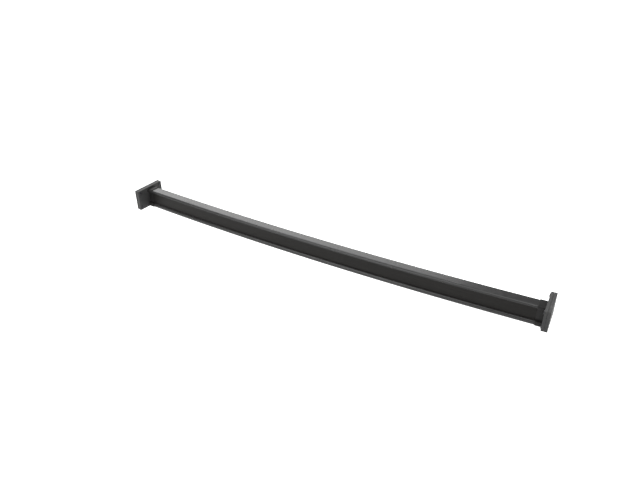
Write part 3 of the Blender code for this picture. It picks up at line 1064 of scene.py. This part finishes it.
@dataclass
class Bracket:
    """One end of the handrail: post plate, flange, collar, insert block and their screws."""

    end: EndFrame
    rail: Rail
    hole_radius: float = 2.8 * MM
    post_hole_radius: float = 3.0 * MM
    post_sink_radius: float = 6.0 * MM
    insert_sink_radius: float = 5.3 * MM
    post_hole_reach: float = 20 * MM
    flange_screw: Screw = Screw(Head.BUTTON, 12 * MM)
    insert_screw: Screw = Screw(Head.COUNTERSUNK, 22 * MM)
    rail_screw: Screw = Screw(Head.BUTTON, 11 * MM)

    def screw_nodes(self, kind: str) -> list[str]:
        """Names of the end's packed screws of a kind, in order."""
        start = f"{self.end.side.word}_{kind}_screw_"
        return sorted(name for name in frame["nodes"] if name.startswith(start))

    def holes(self, kind: str, radius: float, sink: float = 0.0) -> list[Hole]:
        """A hole behind each screw of a kind."""
        boxes = [self.end.local_box(node) for node in self.screw_nodes(kind)]
        return [Hole(*((low + high) / 2)[1:], radius, sink) for low, high in boxes]

    def build_plates(self, shelf: FinishShelf) -> None:
        """Make the flange and the post plate, drilled where the screws go."""
        word = self.end.side.word
        flange, plate = (Slab(self.end, word + part) for part in ("_flange", "_post_plate"))
        shared = self.holes("flange", self.hole_radius)
        inserts = self.holes("insert", self.hole_radius, self.insert_sink_radius)
        _, back, up = (plate.low + plate.high) / 2
        posts = [Hole(back + reach, up, self.post_hole_radius, self.post_sink_radius,
                      sink_outwards=False)
                 for reach in (-self.post_hole_reach, self.post_hole_reach)]
        for slab, name, holes in ((flange, "_inner_flange", inserts),
                                  (plate, "_outer_plate", posts)):
            shelf.fit(slab.build(word + name, shared + holes), slab.node, Finish.PLATE_COAT)

    def build_screws(self, shelf: FinishShelf) -> None:
        """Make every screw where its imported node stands."""
        axes = np.append(self.end.out, 0.0), np.append(self.end.back, 0.0)
        for kind, screw, axis, towards_tip in (("flange", self.flange_screw, 0, 1),
                                               ("insert", self.insert_screw, 0, -1),
                                               ("rail", self.rail_screw, 1, -1)):
            for node in self.screw_nodes(kind):
                low, high = self.end.local_box(node)
                place = (low + high) / 2
                tip = high[axis] if towards_tip > 0 else low[axis]
                place[axis] = tip - towards_tip * screw.length
                item = screw.build(node.replace("_screw_", "_socket_screw_"),
                                   self.end.to_world(*place), towards_tip * axes[axis])
                shelf.fit(item, node, Finish.SCREW)

    def build(self, shelf: FinishShelf) -> None:
        """Make the whole bracket and dress the block that stays as packed."""
        word = self.end.side.word
        self.build_plates(shelf)
        collar = Collar(self.end, self.rail).build(word + "_trim_collar")
        shelf.fit(collar, word + "_collar", Finish.TRIM)
        self.build_screws(shelf)
        shelf.redress(word + "_insert_block", Finish.INSERT)


# ---------- Studio ----------


@dataclass(frozen=True)
class Softbox:
    """A flat oblong light that faces the middle of the rail.

    Its width is level, and its radiance is what it shows in a mirror; the lamp's power is pi
    times its area times that.
    """

    name: str
    place: Triple
    width: float
    height: float
    radiance: float

    def build(self) -> None:
        """Make the light and turn it towards the middle of the rail."""
        light = bpy.data.lights.new(self.name, "AREA")
        light.shape = "RECTANGLE"
        light.size = self.width
        light.size_y = self.height
        light.energy = math.pi * self.width * self.height * self.radiance
        item = show(self.name, light)
        item.location = self.place
        item.rotation_euler = (-Vector(self.place)).to_track_quat("-Z", "Y").to_euler()


@dataclass(frozen=True)
class Studio:
    """Pale floor, soft lights and the camera."""

    floor_size: float = 24.0
    floor_colour: Triple = (0.7, 0.7, 0.7)
    floor_glow: float = 1.43
    horizon_glow: float = 1.0
    sky_glow: float = 0.35
    sky_grade: Span = (0.04, 0.4)
    softboxes: tuple[Softbox, ...] = (
        Softbox("back_left_softbox", (-2.18, 2.75, 1.95), 3.6, 1.6, 3.9),
        Softbox("overhead_softbox", (0.4, -0.1, 2.2), 2.0, 1.6, 3.2),
        Softbox("front_softbox", (-0.7, -1.15, 1.5), 1.5, 1.3, 4.6),
    )
    aim: Triple = (-0.0004, -0.0291, 0.028)
    distance: float = 1.6234
    azimuth: float = math.radians(-31.62)
    elevation: float = math.radians(32.25)
    roll: float = math.radians(-1.13)
    lens: float = 36.61
    sensor: float = 36.0

    def build_floor(self) -> None:
        """Lay the floor as a gently graded sheet under the plates."""
        bpy.ops.mesh.primitive_plane_add(size=self.floor_size)
        floor = bpy.context.object
        floor.name = "studio_floor"
        material = StudioFloor("pale_floor", self.floor_colour, self.floor_glow).build()
        floor.data.materials.append(material)

    def build_sky(self) -> None:
        """Grade the sky from the floor's white at the horizon to a dim grey overhead."""
        graph = Graph(bpy.data.worlds.new("studio_sky"), "Background", Color=WHITE)
        glow = graph.upward("TexCoord", "Generated", self.sky_grade,
                            (self.horizon_glow, self.sky_glow))
        bpy.context.scene.world = graph.dress(Strength=glow)

    def build_lights(self) -> None:
        """Hang the softboxes, and show the light as it is, without a film look."""
        for softbox in self.softboxes:
            softbox.build()
        bpy.context.scene.view_settings.view_transform = "Standard"

    def build_camera(self) -> None:
        """Stand the camera back from its aim along its azimuth and elevation, and roll it."""
        level = math.cos(self.elevation)
        forward = Vector((math.sin(self.azimuth) * level, math.cos(self.azimuth) * level,
                          -math.sin(self.elevation)))
        right = forward.cross(Vector((0.0, 0.0, 1.0))).normalized()
        up = right.cross(forward)
        turned_right = right * math.cos(self.roll) + up * math.sin(self.roll)
        turned_up = up * math.cos(self.roll) - right * math.sin(self.roll)
        camera = bpy.data.cameras.new("studio_camera")
        camera.lens = self.lens
        camera.sensor_width = self.sensor
        item = show("studio_camera", camera)
        axes = Matrix((turned_right, turned_up, -forward)).transposed()
        place = Vector(self.aim) - forward * self.distance
        item.matrix_world = Matrix.Translation(place) @ axes.to_4x4()
        bpy.context.scene.camera = item

    def build(self) -> None:
        """Make the whole studio."""
        self.build_floor()
        self.build_sky()
        self.build_lights()
        self.build_camera()


def main() -> None:
    """Build the studio, the rail and both brackets, and report each piece."""
    logging.basicConfig(level=logging.INFO, format="%(name)s %(message)s")
    Studio().build()
    shelf = FinishShelf()
    bow = Bow.from_frame()
    LOG.info("arc radius %.3f m, half angle %.3f degrees", bow.radius,
             math.degrees(bow.half_angle))
    rail = Rail(bow)
    rail.build(shelf)
    for side in Side:
        Bracket(EndFrame.from_bow(bow, side), rail).build(shelf)


if __name__ == "__main__":
    main()
